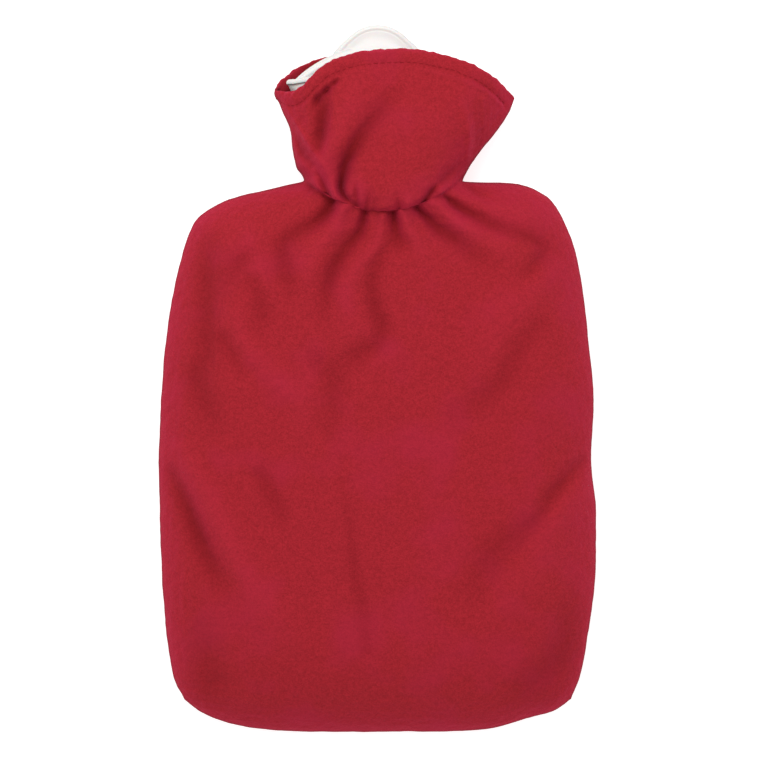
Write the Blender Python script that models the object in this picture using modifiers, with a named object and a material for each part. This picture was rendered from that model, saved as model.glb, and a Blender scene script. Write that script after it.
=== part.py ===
"""A hot water bottle lying on its back in a red fleece cover.

The cover is two fleece panels, front and back, each cut with its collar in one
and sewn together down the sides and across the bottom. An elastic in the neck
gathers them below the collar. The bottle's funnel and hanging tab stand out of
the collar. +Z points out of the cover's front, and +Y towards its mouth.
"""

import math

import bmesh
import bpy
import numpy as np

MM = 0.001

# The cloth
FLEECE = 2.5  # thickness of the fleece, mm
SEAM_GAP = 0.4  # left between the two panels along their seam
SEAM_LIP = 1.0  # the cloth stands upright this far at the seam
RISE_POWER = 2.2  # how full the cloth is across its edge
RISE_ROOT = 1.6  # how steeply it leaves the seam
CORNER_BLEND = 4.0  # rounds the crown where side and bottom meet

# One row for each section across the cover, from the bottom seam to the top hem.
# left and right are the side seams and seam_z their height. front and back are
# the middle of the section on each panel: its place along the cover, its height,
# and the width of the edge over which the cloth reaches that height.
SECTION_COLUMNS = (
    "left_x", "left_y", "right_x", "right_y", "seam_z", "bow_power",
    "front_y", "front_z", "front_edge", "back_y", "back_z", "back_edge",
    "front_cells", "back_cells",
)
SECTIONS = {
    "bottom_seam": (-94.0, -154.8, 94.4, -154.4, 10.5, 4.5, -169.6, 37.0, 42, -169.6, 0.0, 26, 4, 4),
    "bottom_edge": (-98.4, -143.0, 97.8, -142.0, 10.8, 4.0, -150.0, 37.5, 42, -150.0, 0.0, 26, 2, 2),
    "low": (-102.2, -118.0, 102.2, -118.0, 11.0, 3.0, -124.0, 39.0, 44, -124.0, 0.0, 28, 2, 2),
    "lower": (-104.1, -90.0, 105.3, -90.0, 11.0, 2.5, -92.0, 40.0, 45, -92.0, 0.0, 28, 2, 2),
    "widest": (-105.0, -62.0, 105.4, -64.0, 11.0, 2.0, -62.0, 40.0, 45, -62.0, 0.0, 28, 2, 2),
    "dent": (-105.4, -38.0, 103.0, -38.0, 11.0, 2.0, -38.0, 40.0, 45, -38.0, 0.0, 28, 2, 2),
    "middle": (-104.3, -10.0, 104.3, -10.0, 11.0, 2.0, -12.0, 40.0, 45, -10.0, 0.0, 28, 2, 2),
    "upper": (-102.3, 16.0, 102.0, 16.0, 11.2, 2.0, 12.0, 40.0, 45, 16.0, 0.0, 28, 2, 2),
    "high": (-98.8, 40.0, 99.4, 40.0, 11.6, 2.0, 32.0, 39.7, 44, 38.0, 0.0, 27, 2, 2),
    "shoulder": (-94.0, 60.5, 95.7, 60.5, 12.4, 2.0, 47.0, 39.2, 42, 55.0, 0.0, 26, 2, 1),
    "shoulder_turn": (-88.3, 75.5, 90.2, 75.5, 13.4, 2.0, 57.5, 38.6, 38, 67.0, 0.0, 24, 2, 1),
    "shoulder_top": (-74.0, 85.7, 81.2, 88.4, 14.6, 2.0, 66.0, 38.0, 34, 77.0, 0.4, 22, 2, 1),
    "neck_side": (-55.0, 90.8, 66.0, 94.0, 16.0, 2.0, 73.5, 38.0, 30, 85.0, 1.2, 20, 2, 1),
    "gather": (-36.2, 94.5, 41.3, 95.2, 17.5, 2.0, 83.0, 35.5, 27, 91.5, 2.4, 17, 1, 1),
    "collar_fold": (-37.4, 97.4, 42.7, 98.6, 17.8, 2.0, 80.6, 40.0, 26, 95.0, 2.0, 17, 1, 1),
    "collar_foot": (-39.1, 101.2, 44.8, 102.7, 18.2, 2.0, 83.0, 44.6, 27, 99.0, 1.4, 18, 2, 1),
    "collar_low": (-40.8, 108.5, 50.1, 109.6, 18.8, 2.0, 95.5, 46.4, 29, 107.0, 1.0, 20, 2, 2),
    "collar": (-42.0, 118.6, 57.2, 118.6, 19.0, 2.0, 115.0, 46.4, 30, 119.0, 0.8, 22, 2, 2),
    "collar_high": (-46.3, 129.4, 63.2, 127.6, 18.8, 2.2, 137.0, 45.0, 30, 137.0, 0.8, 22, 2, 2),
    "top_hem": (-50.2, 139.0, 66.2, 135.0, 18.6, 2.5, 158.5, 42.6, 30, 155.5, 1.0, 22, 0, 0),
}

# The two top hems, from the left tip (-1) to the right one (1).
HEM_COLUMNS = ("across", "front_y", "back_y")
HEM = (
    (-1.00, 139.0, 139.0),
    (-0.95, 138.6, 143.6),
    (-0.85, 141.0, 148.4),
    (-0.70, 147.3, 153.0),
    (-0.50, 153.4, 155.6),
    (-0.20, 157.8, 156.4),
    (0.10, 158.5, 155.5),
    (0.40, 155.6, 152.4),
    (0.65, 151.0, 147.6),
    (0.85, 143.8, 141.0),
    (1.00, 135.0, 135.0),
)

# The main folds: three places along each one, its half width at both ends and its
# height there, which is negative in a trough of the front and on the back is how
# far the cloth is drawn up. A fold lies on a panel's body, below the gather, or on
# its collar above it.
FOLD_COLUMNS = (
    "panel", "part", "x1", "y1", "x2", "y2", "x3", "y3", "width_1", "width_3", "height_1", "height_3",
)
FOLDS = {
    "left_gather": ("front", "body", -21, 86, -34, 73, -45, 60, 4.0, 9.0, -3.4, -0.6),
    "centre_left_gather": ("front", "body", -6, 80, -17, 60, -24, 44, 3.6, 8.0, -3.2, -0.5),
    "centre_gather": ("front", "body", 8, 80, 5, 52, -8, 12, 3.2, 9.0, -2.6, -0.3),
    "right_gather": ("front", "body", 19, 84, 34, 68, 52, 58, 3.6, 9.0, -3.6, -0.6),
    "far_right_gather": ("front", "body", 33, 89, 52, 77, 72, 70, 3.4, 8.0, -3.2, -0.5),
    "left_pleat": ("front", "body", -15, 82, -31, 57, -29, 38, 4.5, 8.0, 1.8, 0.5),
    "centre_pleat": ("front", "body", 1, 79, -9, 50, -17, 16, 4.5, 9.0, 2.0, 0.6),
    "right_pleat": ("front", "body", 13, 78, 26, 56, 38, 34, 5.0, 10.0, 2.0, 0.5),
    "shoulder_pleat": ("front", "body", 28, 84, 50, 66, 70, 52, 4.5, 9.0, 2.0, 0.5),
    "right_wave": ("front", "body", 82, 50, 60, 22, 48, 6, 11.0, 12.0, 1.0, 0.6),
    "right_hollow": ("front", "body", 77, 24, 48, -10, 22, -28, 10.0, 14.0, -1.0, -0.5),
    "left_hollow": ("front", "body", -82, 60, -84, 12, -78, -23, 9.0, 13.0, -1.1, -0.5),
    "left_wave": ("front", "body", -70, 32, -52, 4, -30, -36, 10.0, 13.0, 0.9, 0.4),
    "low_left_hollow": ("front", "body", -94, -46, -84, -78, -76, -118, 8.0, 14.0, -1.3, -0.5),
    "low_left_wave": ("front", "body", -92, -34, -72, -78, -48, -108, 9.0, 14.0, 1.2, 0.5),
    "low_right_hollow": ("front", "body", 95, -44, 68, -78, 38, -106, 10.0, 16.0, -1.3, -0.5),
    "low_right_wave": ("front", "body", 94, -58, 80, -86, 66, -104, 10.0, 14.0, 1.0, 0.4),
    "mouth_hollow": ("front", "collar", -21, 143, -26, 124, -29, 112, 7.0, 6.0, -3.0, -2.0),
    "collar_pleat": ("front", "collar", 5, 132, -12, 112, -18, 91, 4.0, 4.0, -1.6, -4.2),
    "collar_roll": ("front", "collar", -9, 138, -23, 112, -25, 100, 5.5, 4.5, 1.4, 1.4),
    "dome": ("front", "collar", 10, 124, 12, 112, 8, 96, 22.0, 20.0, 1.0, 1.2),
    "ear_crease": ("front", "collar", 33, 148, 44, 128, 44, 100, 6.0, 6.0, 0.8, 1.2),
    "neck_crease": ("front", "collar", 20, 86, 28, 92, 39, 101, 3.2, 3.2, -3.0, -2.2),
    "ear_flat": ("front", "collar", 61, 139, 56, 122, 49, 107, 9.0, 6.0, -9.0, -3.0),
    "back_ear_flat": ("back", "collar", 61, 139, 56, 122, 49, 107, 9.0, 6.0, 7.0, 2.0),
    "back_left_gather": ("back", "body", -24, 91, -36, 76, -48, 64, 4.0, 8.0, 1.8, 0.3),
    "back_centre_gather": ("back", "body", -4, 90, -7, 74, -12, 60, 4.0, 8.0, 1.8, 0.3),
    "back_right_gather": ("back", "body", 20, 91, 31, 76, 44, 64, 4.0, 8.0, 1.8, 0.3),
    "back_left_pleat": ("back", "collar", -14, 96, -18, 112, -20, 130, 4.0, 7.0, 1.8, 0.3),
    "back_right_pleat": ("back", "collar", 14, 96, 19, 112, 24, 130, 4.0, 7.0, 1.8, 0.3),
}
FOLD_STEPS = 24  # places measured along a fold
SEAM_EASE = 9.0  # a fold dies out over this width beside the seam

# The panels' meshes: cells across, crowded towards the seams
FRONT_ACROSS = 38
BACK_ACROSS = 24
CROWDING = 1.6

# The bottle, one row for each ring from its foot to the rim of the funnel and
# down inside it: place along it, half width, lowest, middle and highest point,
# and roundness, where 2 is an ellipse and more is squarer.
RING_COLUMNS = ("y", "half_width", "low", "middle", "high", "roundness")
BODY_RINGS = (
    (-159.4, 56.0, 8.5, 11.0, 14.0, 2.4),
    (-158.0, 68.0, 6.2, 11.0, 18.0, 2.5),
    (-153.5, 78.0, 4.8, 11.5, 23.5, 2.6),
    (-145.0, 86.5, 3.8, 12.0, 28.5, 2.8),
    (-131.0, 92.0, 3.2, 12.0, 32.0, 2.9),
    (-105.0, 94.5, 3.0, 12.0, 34.2, 2.9),
    (-62.0, 95.5, 3.0, 12.0, 34.6, 2.9),
    (-10.0, 94.5, 3.0, 12.0, 34.6, 2.9),
    (22.0, 92.0, 3.0, 12.5, 34.0, 2.9),
    (44.0, 88.0, 3.1, 13.0, 33.4, 2.9),
    (58.0, 82.5, 3.4, 13.5, 32.4, 2.8),
    (68.0, 76.0, 4.0, 14.0, 31.2, 2.7),
    (76.0, 66.0, 4.7, 14.8, 30.0, 2.6),
    (82.0, 50.0, 6.0, 15.8, 28.8, 2.4),
    (87.0, 33.0, 7.0, 16.6, 28.2, 2.2),
    (92.5, 25.5, 7.4, 17.2, 28.2, 2.0),
    (99.0, 25.0, 6.8, 17.8, 29.6, 2.0),
    (106.0, 27.5, 6.0, 18.4, 33.6, 2.0),
    (115.0, 31.5, 5.2, 19.0, 37.2, 2.0),
    (125.0, 36.0, 5.0, 19.4, 38.6, 2.1),
    (134.0, 39.8, 4.9, 19.4, 38.4, 2.2),
    (142.2, 43.3, 4.8, 19.4, 37.2, 2.2),
)
CUP_RINGS = (
    (142.4, 40.9, 7.2, 19.4, 34.8, 2.2),
    (134.0, 37.2, 7.4, 19.4, 35.8, 2.2),
    (125.0, 33.4, 7.6, 19.4, 35.8, 2.1),
    (116.0, 28.6, 7.9, 19.2, 34.0, 2.0),
    (110.0, 22.0, 8.2, 19.0, 31.6, 2.0),
)
RING_POINTS = 40
BACK_LIP_LIFT = 15.5  # how far the rim's back stands above its ends
FRONT_LIP_LIFT = 3.0
LIP_POWER = 0.75  # how the lip's arch falls to its ends
LIP_START = 108.0  # the funnel leans up from here to its rim

TAB_X = -0.2  # middle of the hanging tab
TAB_Y = 150.9
TAB_Z = 6.6
TAB_RADIUS = 18.7
TAB_THICKNESS = 2.4
BEAD_RADIUS = 1.5  # raised edge all round the tab
TURNS = 48

STOPPER_Y = 110.4  # foot of the stopper on the funnel's floor
STOPPER_Z = 19.6
STOPPER_FLANGE = 10.8  # radius
STOPPER_FLANGE_HIGH = 3.0
STOPPER_GRIP = 7.5  # radius of the grip
STOPPER_HIGH = 15.0


# Shared working
def column(table, columns, name):
    """One named column of a table, as numbers."""
    rows = table.values() if isinstance(table, dict) else table
    place = columns.index(name)
    return np.array([row[place] for row in rows], dtype=float)


def smooth_through(knots, values, at):
    """A smooth curve through the values, which never overshoots them."""
    step = np.diff(knots)
    slope = np.diff(values) / step
    tangent = np.zeros(len(values))
    tangent[0] = slope[0]
    tangent[-1] = slope[-1]
    for i in range(1, len(values) - 1):
        if slope[i - 1] * slope[i] > 0:
            before = 2 * step[i] + step[i - 1]
            after = step[i] + 2 * step[i - 1]
            tangent[i] = (before + after) / (before / slope[i - 1] + after / slope[i])
    i = np.clip(np.searchsorted(knots, at, side="right") - 1, 0, len(step) - 1)
    s = (at - knots[i]) / step[i]
    near = (1 + 2 * s) * (1 - s) ** 2 * values[i] + s * (1 - s) ** 2 * step[i] * tangent[i]
    far = s * s * (3 - 2 * s) * values[i + 1] - s * s * (1 - s) * step[i] * tangent[i + 1]
    return near + far


def section(name, at):
    """A column of the section table at places counted in sections."""
    values = column(SECTIONS, SECTION_COLUMNS, name)
    return smooth_through(np.arange(len(values), dtype=float), values, at)


def distance_to_line(x, y, line_x, line_y):
    """Distance of each point from a bent line, and how far along the line that is."""
    nearest = np.full(x.shape, np.inf)
    along = np.zeros(x.shape)
    for i in range(len(line_x) - 1):
        ax, ay = line_x[i], line_y[i]
        bx, by = line_x[i + 1] - ax, line_y[i + 1] - ay
        share = np.clip(((x - ax) * bx + (y - ay) * by) / (bx * bx + by * by), 0, 1)
        away = np.hypot(x - ax - share * bx, y - ay - share * by)
        closer = away < nearest
        nearest = np.where(closer, away, nearest)
        along = np.where(closer, (i + share) / (len(line_x) - 1), along)
    return nearest, along


def shift_between(values, low, high):
    """0 below low, 1 above high, and smooth between."""
    share = np.clip((values - low) / (high - low), 0, 1)
    return share * share * (3 - 2 * share)


# The cover
GATHER = list(SECTIONS).index("gather")
LAST = len(SECTIONS) - 1


def places(side, across, at):
    """Where the cloth lies in plan, at shares across and sections along."""
    left_x, left_y = section("left_x", at), section("left_y", at)
    right_x, right_y = section("right_x", at), section("right_y", at)
    share = (across + 1) / 2
    x = left_x + (right_x - left_x) * share
    ends = left_y + (right_y - left_y) * share
    bow = section(side + "_y", at) - (left_y + right_y) / 2
    y = ends + bow * (1 - np.abs(across) ** section("bow_power", at))
    hem = smooth_through(
        column(HEM, HEM_COLUMNS, "across"), column(HEM, HEM_COLUMNS, side + "_y"), across
    )
    top = np.full_like(at, LAST)
    plain_ends = section("left_y", top) * (1 - share) + section("right_y", top) * share
    plain_bow = section(side + "_y", top) - (section("left_y", top) + section("right_y", top)) / 2
    plain = plain_ends + plain_bow * (1 - np.abs(across) ** section("bow_power", top))
    return x, y + (hem - plain) * shift_between(at, LAST - 2.5, LAST)


def edge_distance(side, x, y):
    """Distance in from the seam that runs down the sides and across the bottom."""
    along = np.linspace(0, LAST, 6 * LAST + 1)
    over = np.linspace(-1, 1, 49)
    lines = [
        (section("left_x", along), section("left_y", along)),
        (section("right_x", along), section("right_y", along)),
        places(side, over, np.zeros_like(over)),
    ]
    total = np.zeros_like(x)
    for line_x, line_y in lines:
        away, _ = distance_to_line(x, y, line_x, line_y)
        total += np.maximum(away, 1e-4) ** -CORNER_BLEND
    return total ** (-1 / CORNER_BLEND)


def rise(away, edge):
    """Share of its full height that the cloth has reached at a distance from the seam."""
    left = np.clip(1 - away / edge, 0, 1)
    return (1 - left ** RISE_POWER) ** (1 / RISE_ROOT)


def fold_heights(side, x, y, at):
    """Height that a panel's folds add at each of its points."""
    total = np.zeros_like(x)
    above = shift_between(at, GATHER + 0.3, GATHER + 1.3)
    below = 1 - shift_between(at, GATHER - 0.2, GATHER + 0.8)
    for fold in FOLDS.values():
        owner, part, x1, y1, x2, y2, x3, y3, width_1, width_3, height_1, height_3 = fold
        if owner != side:
            continue
        share = np.linspace(0, 1, FOLD_STEPS)
        pull = (1 - share) ** 2, 2 * share * (1 - share), share ** 2
        bend_x = 2 * x2 - (x1 + x3) / 2
        bend_y = 2 * y2 - (y1 + y3) / 2
        line_x = pull[0] * x1 + pull[1] * bend_x + pull[2] * x3
        line_y = pull[0] * y1 + pull[1] * bend_y + pull[2] * y3
        away, along = distance_to_line(x, y, line_x, line_y)
        width = width_1 + (width_3 - width_1) * along
        height = height_1 + (height_3 - height_1) * along
        share = below if part == "body" else above
        total += share * height * np.exp(-((away / width) ** 2))
    return total


def grid_lines(across_cells, side):
    """Where the lines of a panel's grid lie, across it and along it."""
    half = np.linspace(0, 1, across_cells // 2 + 1)
    half = 1 - (1 - half) ** CROWDING
    across = np.concatenate((-half[::-1], half[1:]))
    across = np.concatenate(([-1.0], across, [1.0]))
    at = [0.0, 0.0]
    for i, cells in enumerate(column(SECTIONS, SECTION_COLUMNS, side + "_cells")[:-1]):
        crowding = CROWDING if i == 0 else 1
        at += [i + ((k + 1) / cells) ** crowding for k in range(int(cells))]
    return across, np.array(at)


def panel(name, side, across_cells, material, collection):
    """One fleece panel: an open grid laid over the bottle, then given its thickness."""
    across_lines, at_lines = grid_lines(across_cells, side)
    columns, rows = len(across_lines) - 1, len(at_lines) - 1
    mesh_build = bmesh.new()
    bmesh.ops.create_grid(mesh_build, x_segments=columns, y_segments=rows, size=1.0)
    verts = list(mesh_build.verts)
    i = np.array([round((v.co.x + 1) / 2 * columns) for v in verts])
    j = np.array([round((v.co.y + 1) / 2 * rows) for v in verts])
    across, at = across_lines[i], at_lines[j]
    x, y = places(side, across, at)
    on_seam = (i == 0) | (i == columns) | (j == 0)
    away = edge_distance(side, x, y)
    lift = rise(away, section(side + "_edge", at))
    seam, middle = section("seam_z", at), section(side + "_z", at)
    up = 1 if side == "front" else -1
    start = seam + up * SEAM_GAP / 2
    z = np.where(on_seam, start, start + up * SEAM_LIP + (middle - start - up * SEAM_LIP) * lift)
    z = z + fold_heights(side, x, y, at) * shift_between(away, 0, SEAM_EASE)
    for vert, px, py, pz in zip(verts, x, y, z):
        vert.co = (px * MM, py * MM, pz * MM)
    bmesh.ops.remove_doubles(mesh_build, verts=mesh_build.verts, dist=0.01 * MM)
    if side == "back":
        bmesh.ops.reverse_faces(mesh_build, faces=mesh_build.faces)
    mesh = bpy.data.meshes.new(name)
    mesh_build.to_mesh(mesh)
    mesh_build.free()
    cloth = bpy.data.objects.new(name, mesh)
    collection.objects.link(cloth)
    thicken = cloth.modifiers.new("fleece", "SOLIDIFY")
    thicken.thickness = FLEECE * MM
    thicken.offset = -1
    mesh.materials.append(material)
    mesh.shade_smooth()
    return cloth


# The bottle
def ring(row):
    """Points of one oval ring, leaning back where the funnel's lips rise."""
    y, half_width, low, middle, high, roundness = row
    points = []
    for k in range(RING_POINTS):
        turn = 2 * math.pi * k / RING_POINTS
        c, s = math.cos(turn), math.sin(turn)
        x = half_width * math.copysign(abs(c) ** (2 / roundness), c)
        reach = high - middle if s > 0 else middle - low
        z = middle + reach * math.copysign(abs(s) ** (2 / roundness), s)
        lift = FRONT_LIP_LIFT if s > 0 else BACK_LIP_LIFT
        lean = max(0.0, (y - LIP_START) / (BODY_RINGS[-1][0] - LIP_START)) ** 2
        arch = max(0.0, 1 - (x / half_width) ** 2) ** LIP_POWER
        points.append((x * MM, (y + lift * lean * arch) * MM, z * MM))
    return points


def moulded_body(material, collection):
    """Body, neck and funnel, lofted through the rings and closed at both ends."""
    mesh_build = bmesh.new()
    loops = [[mesh_build.verts.new(point) for point in ring(row)] for row in BODY_RINGS + CUP_RINGS]
    for low, high in zip(loops, loops[1:]):
        for k in range(RING_POINTS):
            after = (k + 1) % RING_POINTS
            mesh_build.faces.new((low[k], low[after], high[after], high[k]))
    mesh_build.faces.new(loops[0])
    mesh_build.faces.new(loops[-1])
    bmesh.ops.recalc_face_normals(mesh_build, faces=mesh_build.faces)
    mesh = bpy.data.meshes.new("bottle")
    mesh_build.to_mesh(mesh)
    mesh_build.free()
    bottle = bpy.data.objects.new("bottle", mesh)
    collection.objects.link(bottle)
    mesh.materials.append(material)
    return bottle


def turned(name, profile, turns, collection):
    """A solid turned about its own Z from a profile of (radius, height), top to bottom."""
    mesh_build = bmesh.new()
    verts = [mesh_build.verts.new((r * MM, 0, h * MM)) for r, h in profile]
    for first, second in zip(verts, verts[1:]):
        mesh_build.edges.new((first, second))
    mesh = bpy.data.meshes.new(name)
    mesh_build.to_mesh(mesh)
    mesh_build.free()
    solid = bpy.data.objects.new(name, mesh)
    collection.objects.link(solid)
    screw = solid.modifiers.new("turn", "SCREW")
    screw.steps = turns
    screw.render_steps = turns
    screw.use_merge_vertices = True
    screw.merge_threshold = 0.00005
    return solid


def hanging_tab(collection):
    """The round tab with its raised edge."""
    half = TAB_THICKNESS / 2
    edge = [(0.0, half), (TAB_RADIUS - 2.2 * BEAD_RADIUS, half)]
    for k in range(7):
        turn = math.radians(120 - 40 * k)
        edge.append((
            TAB_RADIUS - BEAD_RADIUS + BEAD_RADIUS * math.cos(turn),
            BEAD_RADIUS * math.sin(turn),
        ))
    edge += [(TAB_RADIUS - 2.2 * BEAD_RADIUS, -half), (0.0, -half)]
    tab = turned("tab_tool", edge, TURNS, collection)
    tab.location = (TAB_X * MM, TAB_Y * MM, TAB_Z * MM)
    tab.hide_render = True
    tab.display_type = "WIRE"
    return tab


def stopper(material, collection):
    """A plain flanged stopper with a narrower round grip."""
    profile = [
        (0.0, STOPPER_HIGH),
        (STOPPER_GRIP - 1.0, STOPPER_HIGH),
        (STOPPER_GRIP, STOPPER_HIGH - 1.0),
        (STOPPER_GRIP, STOPPER_FLANGE_HIGH),
        (STOPPER_FLANGE, STOPPER_FLANGE_HIGH),
        (STOPPER_FLANGE, 0.0),
        (0.0, 0.0),
    ]
    plug = turned("stopper", profile, RING_POINTS, collection)
    plug.rotation_euler = (-math.pi / 2, 0, 0)
    plug.location = (0, STOPPER_Y * MM, STOPPER_Z * MM)
    plug.data.materials.append(material)
    return plug


# Materials
def principled(name, colour, roughness):
    material = bpy.data.materials.new(name)
    material.use_nodes = True
    shader = material.node_tree.nodes["Principled BSDF"]
    shader.inputs["Base Color"].default_value = (*colour, 1)
    shader.inputs["Roughness"].default_value = roughness
    shader.inputs["Metallic"].default_value = 0.0
    return material


def new_collection(name):
    collection = bpy.data.collections.new(name)
    bpy.context.scene.collection.children.link(collection)
    return collection


def main():
    for old in list(bpy.data.objects):
        bpy.data.objects.remove(old, do_unlink=True)
    parts = new_collection("hot_water_bottle_in_cover")
    tools = new_collection("cutters")
    front_fleece = principled("red_fleece_front", (0.36, 0.022, 0.032), 0.95)
    back_fleece = principled("red_fleece_back", (0.36, 0.022, 0.032), 0.95)
    bottle_plastic = principled("white_plastic_bottle", (0.86, 0.84, 0.80), 0.35)
    stopper_plastic = principled("white_plastic_stopper", (0.80, 0.79, 0.77), 0.4)
    panel("front_panel", "front", FRONT_ACROSS, front_fleece, parts)
    panel("back_panel", "back", BACK_ACROSS, back_fleece, parts)
    bottle = moulded_body(bottle_plastic, parts)
    join = bottle.modifiers.new("tab", "BOOLEAN")
    join.operation = "UNION"
    join.object = hanging_tab(tools)
    stopper(stopper_plastic, parts)


main()
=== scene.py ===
# %% [markdown]
# # A hot water bottle in its red fleece cover
#
# The cover is two panels of fleece, sewn together down the sides and across the
# bottom, with an elastic in the neck that gathers them under a wide collar. The
# bottle's funnel and its round hanging tab look out of the collar. The script loads
# the fixed frame first, because every size below has to agree with it, and it works
# in millimetres, the unit a sewing pattern is drawn in.

import math

import bmesh
import bpy
import numpy as np
from mathutils import Matrix, Vector


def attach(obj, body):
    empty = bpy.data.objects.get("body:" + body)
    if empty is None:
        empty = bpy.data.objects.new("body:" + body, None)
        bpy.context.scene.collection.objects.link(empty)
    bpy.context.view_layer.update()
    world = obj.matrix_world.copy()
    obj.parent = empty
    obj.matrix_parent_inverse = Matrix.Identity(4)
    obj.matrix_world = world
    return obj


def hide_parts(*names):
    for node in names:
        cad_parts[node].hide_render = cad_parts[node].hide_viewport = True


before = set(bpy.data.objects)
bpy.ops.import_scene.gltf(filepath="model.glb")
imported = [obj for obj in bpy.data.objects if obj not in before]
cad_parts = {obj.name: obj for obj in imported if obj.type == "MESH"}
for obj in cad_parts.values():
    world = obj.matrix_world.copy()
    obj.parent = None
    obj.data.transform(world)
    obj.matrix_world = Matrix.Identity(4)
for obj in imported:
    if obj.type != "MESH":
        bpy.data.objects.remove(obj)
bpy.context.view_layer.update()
MM = 0.001

# %% [markdown]
# ## The cover's shape as sections
#
# A gathered cover has no simple solid inside it, so it is described as a dressmaker
# would: one row for each line across it, from the bottom seam up to the top hem.
# Each row says where the side seams are, and how high the middle of the front and
# the back panel stands. A smooth curve through the rows gives every place between
# them. It never overshoots its rows, so a fold doesn't ring into the next one.

# %% Sections
SECTION_COLUMNS = (
    "left_x", "left_y", "right_x", "right_y", "seam_z", "bow_power",
    "front_y", "front_z", "front_edge", "back_y", "back_z", "back_edge",
    "front_rows", "back_rows",
)
SECTIONS = {
    "bottom_seam": (-94.0, -154.8, 94.4, -154.4, 10.5, 4.5, -169.6, 37.0, 42, -169.6, 0.0, 26, 26, 18),
    "bottom_edge": (-98.4, -143.0, 97.8, -142.0, 10.8, 4.0, -150.0, 37.5, 42, -150.0, 0.0, 26, 17, 10),
    "low": (-102.2, -118.0, 102.2, -118.0, 11.0, 3.0, -124.0, 39.0, 44, -124.0, 0.0, 28, 20, 12),
    "lower": (-104.1, -90.0, 105.3, -90.0, 11.0, 2.5, -92.0, 40.0, 45, -92.0, 0.0, 28, 19, 12),
    "widest": (-105.0, -62.0, 105.4, -64.0, 11.0, 2.0, -62.0, 40.0, 45, -62.0, 0.0, 28, 15, 10),
    "dent": (-105.4, -38.0, 103.0, -38.0, 11.0, 2.0, -38.0, 40.0, 45, -38.0, 0.0, 28, 17, 11),
    "middle": (-104.3, -10.0, 104.3, -10.0, 11.0, 2.0, -12.0, 40.0, 45, -10.0, 0.0, 28, 16, 10),
    "upper": (-102.3, 16.0, 102.0, 16.0, 11.2, 2.0, 12.0, 40.0, 45, 16.0, 0.0, 28, 15, 9),
    "high": (-98.8, 40.0, 99.4, 40.0, 11.6, 2.0, 32.0, 39.7, 44, 38.0, 0.0, 27, 13, 8),
    "shoulder": (-94.0, 60.5, 95.7, 60.5, 12.4, 2.0, 47.0, 39.2, 42, 55.0, 0.0, 26, 11, 7),
    "shoulder_turn": (-88.3, 75.5, 90.2, 75.5, 13.4, 2.0, 57.5, 38.6, 38, 67.0, 0.0, 24, 10, 6),
    "shoulder_top": (-74.0, 85.7, 81.2, 88.4, 14.6, 2.0, 66.0, 38.0, 34, 77.0, 0.4, 22, 10, 6),
    "neck_side": (-55.0, 90.8, 66.0, 94.0, 16.0, 2.0, 73.5, 38.0, 30, 85.0, 1.2, 20, 12, 7),
    "gather": (-35.8, 95.4, 41.3, 95.2, 17.5, 2.0, 80.8, 40.0, 27, 91.5, 2.4, 17, 6, 4),
    "collar_fold": (-36.6, 97.6, 42.7, 98.6, 17.8, 2.0, 80.4, 41.4, 26, 95.0, 2.0, 17, 6, 4),
    "collar_foot": (-39.1, 101.2, 44.8, 102.7, 18.2, 2.0, 82.4, 44.2, 27, 99.0, 1.4, 18, 12, 6),
    "collar_low": (-40.8, 108.5, 50.1, 109.6, 18.8, 2.0, 95.5, 46.4, 29, 107.0, 1.0, 20, 16, 9),
    "collar": (-42.0, 118.6, 57.2, 118.6, 19.0, 2.0, 115.0, 46.4, 30, 119.0, 0.8, 22, 17, 12),
    "collar_high": (-46.3, 129.4, 63.2, 127.6, 18.8, 2.2, 137.0, 45.0, 30, 137.0, 0.8, 22, 17, 13),
    "top_hem": (-50.2, 139.0, 66.2, 135.0, 18.6, 2.5, 158.5, 42.6, 30, 155.5, 1.0, 22, 0, 0),
}
HEM_COLUMNS = ("across", "front_y", "back_y")
HEM = (
    (-1.00, 139.0, 139.0),
    (-0.98, 138.4, 141.2),
    (-0.95, 137.8, 143.2),
    (-0.90, 137.4, 145.6),
    (-0.85, 137.9, 147.9),
    (-0.78, 139.9, 150.4),
    (-0.70, 144.4, 152.6),
    (-0.60, 149.9, 154.4),
    (-0.50, 153.2, 155.6),
    (-0.20, 157.8, 156.4),
    (0.10, 158.5, 155.5),
    (0.40, 155.6, 152.4),
    (0.65, 151.0, 147.6),
    (0.85, 143.8, 141.0),
    (1.00, 135.0, 135.0),
)
GATHER = list(SECTIONS).index("gather")
LAST = len(SECTIONS) - 1


def column(table, columns, name):
    """One named column of a table, as numbers."""
    rows = table.values() if isinstance(table, dict) else table
    place = columns.index(name)
    return np.array([row[place] for row in rows], dtype=float)


def smooth_through(knots, values, at):
    """A smooth curve through the values, which never overshoots them."""
    step = np.diff(knots)
    slope = np.diff(values) / step
    tangent = np.zeros(len(values))
    tangent[0] = slope[0]
    tangent[-1] = slope[-1]
    for i in range(1, len(values) - 1):
        if slope[i - 1] * slope[i] > 0:
            before = 2 * step[i] + step[i - 1]
            after = step[i] + 2 * step[i - 1]
            tangent[i] = (before + after) / (before / slope[i - 1] + after / slope[i])
    i = np.clip(np.searchsorted(knots, at, side="right") - 1, 0, len(step) - 1)
    s = (at - knots[i]) / step[i]
    near = (1 + 2 * s) * (1 - s) ** 2 * values[i] + s * (1 - s) ** 2 * step[i] * tangent[i]
    far = s * s * (3 - 2 * s) * values[i + 1] - s * s * (1 - s) * step[i] * tangent[i + 1]
    return near + far


def section(name, at):
    """A column of the section table at places counted in sections."""
    values = column(SECTIONS, SECTION_COLUMNS, name)
    return smooth_through(np.arange(len(values), dtype=float), values, at)


def shift_between(values, low, high):
    """0 below low, 1 above high, and smooth between."""
    share = np.clip((values - low) / (high - low), 0, 1)
    return share * share * (3 - 2 * share)


print("sections:", len(SECTIONS), "from the bottom seam to the top hem")

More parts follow.
